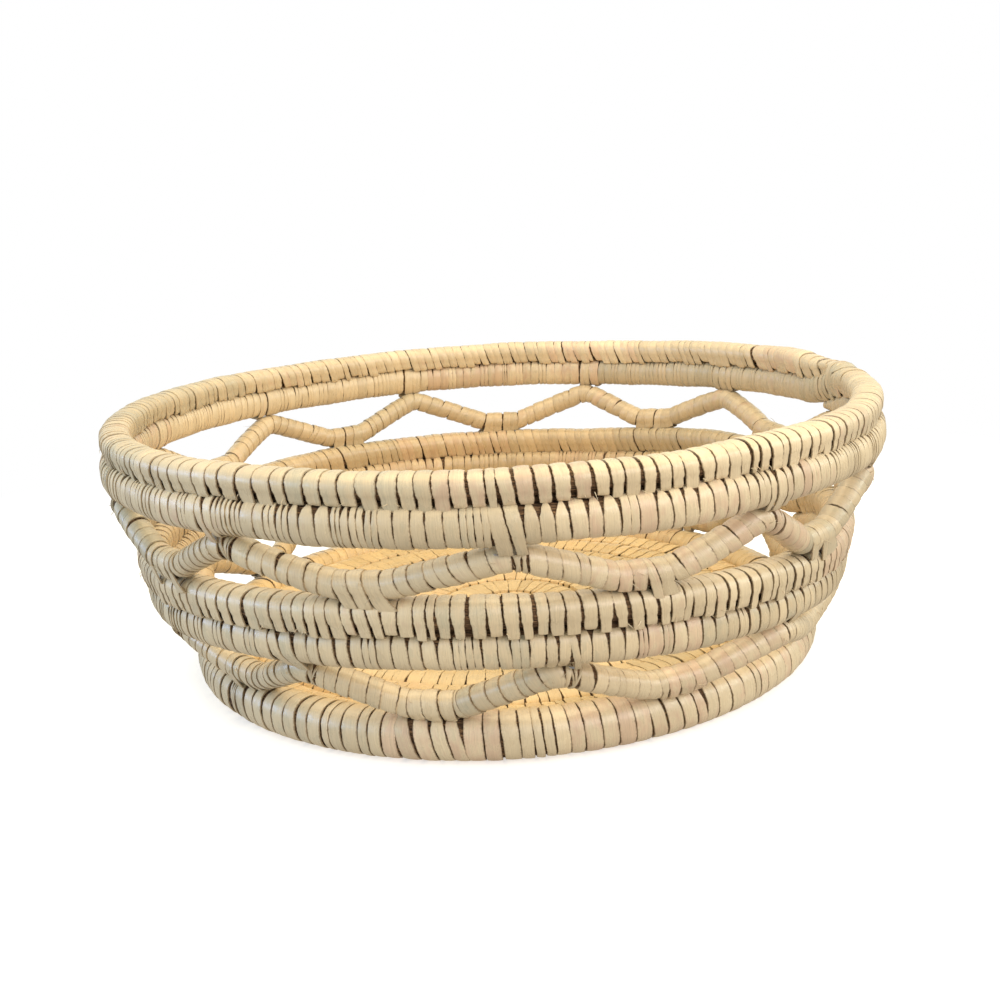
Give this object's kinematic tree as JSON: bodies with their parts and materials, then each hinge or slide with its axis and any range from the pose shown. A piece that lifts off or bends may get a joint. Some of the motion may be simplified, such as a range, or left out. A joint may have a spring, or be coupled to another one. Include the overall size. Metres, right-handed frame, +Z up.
{
  "type": "openwork coiled basket",
  "caption": "Round shallow bowl-shaped basket of leaf-wrapped grass coils, with a solid coiled floor, and openwork zigzag rows between foot, middle band and rim.",
  "frame": {"origin": "centre of the foot ring's underside, on the surface that the basket stands on", "axes": "+Z up through the open mouth; the pictured front faces -Y and +X is to the picture's right"},
  "size_m": [0.2998, 0.3002, 0.1008],
  "materials": {
    "leaf_wrap": "dried leaf strip, satin",
    "lashing_leaf": "dried leaf strip, satin",
    "grass_core": "bundled dry grass, matt"
  },
  "bodies": {
    "root": {"base_knot": "lashing_leaf", "base_coil_core": "grass_core", "base_coil_wrap": "leaf_wrap", "foot_ring_core": "grass_core", "foot_ring_wrap": "leaf_wrap", "lower_zigzag_core": "grass_core", "lower_zigzag_wrap": "leaf_wrap", "upper_zigzag_core": "grass_core", "upper_zigzag_wrap": "leaf_wrap", "middle_band_core": "grass_core", "middle_band_wrap": "leaf_wrap", "rim_band_core": "grass_core", "rim_band_wrap": "leaf_wrap", "lower_valley_lashing_01": "lashing_leaf", "lower_valley_lashing_02": "lashing_leaf", "lower_valley_lashing_03": "lashing_leaf", "lower_valley_lashing_04": "lashing_leaf", "lower_valley_lashing_05": "lashing_leaf", "lower_valley_lashing_06": "lashing_leaf", "lower_valley_lashing_07": "lashing_leaf", "lower_valley_lashing_08": "lashing_leaf", "lower_valley_lashing_09": "lashing_leaf", "lower_valley_lashing_10": "lashing_leaf", "lower_crest_lashing_01": "lashing_leaf", "lower_crest_lashing_02": "lashing_leaf", "lower_crest_lashing_03": "lashing_leaf", "lower_crest_lashing_04": "lashing_leaf", "lower_crest_lashing_05": "lashing_leaf", "lower_crest_lashing_06": "lashing_leaf", "lower_crest_lashing_07": "lashing_leaf", "lower_crest_lashing_08": "lashing_leaf", "lower_crest_lashing_09": "lashing_leaf", "lower_crest_lashing_10": "lashing_leaf", "upper_valley_lashing_01": "lashing_leaf", "upper_valley_lashing_02": "lashing_leaf", "upper_valley_lashing_03": "lashing_leaf", "upper_valley_lashing_04": "lashing_leaf", "upper_valley_lashing_05": "lashing_leaf", "upper_valley_lashing_06": "lashing_leaf", "upper_valley_lashing_07": "lashing_leaf", "upper_valley_lashing_08": "lashing_leaf", "upper_valley_lashing_09": "lashing_leaf", "upper_valley_lashing_10": "lashing_leaf", "upper_valley_lashing_11": "lashing_leaf", "upper_crest_lashing_01": "lashing_leaf", "upper_crest_lashing_02": "lashing_leaf", "upper_crest_lashing_03": "lashing_leaf", "upper_crest_lashing_04": "lashing_leaf", "upper_crest_lashing_05": "lashing_leaf", "upper_crest_lashing_06": "lashing_leaf", "upper_crest_lashing_07": "lashing_leaf", "upper_crest_lashing_08": "lashing_leaf", "upper_crest_lashing_09": "lashing_leaf", "upper_crest_lashing_10": "lashing_leaf", "upper_crest_lashing_11": "lashing_leaf"}
  },
  "joints": []
}
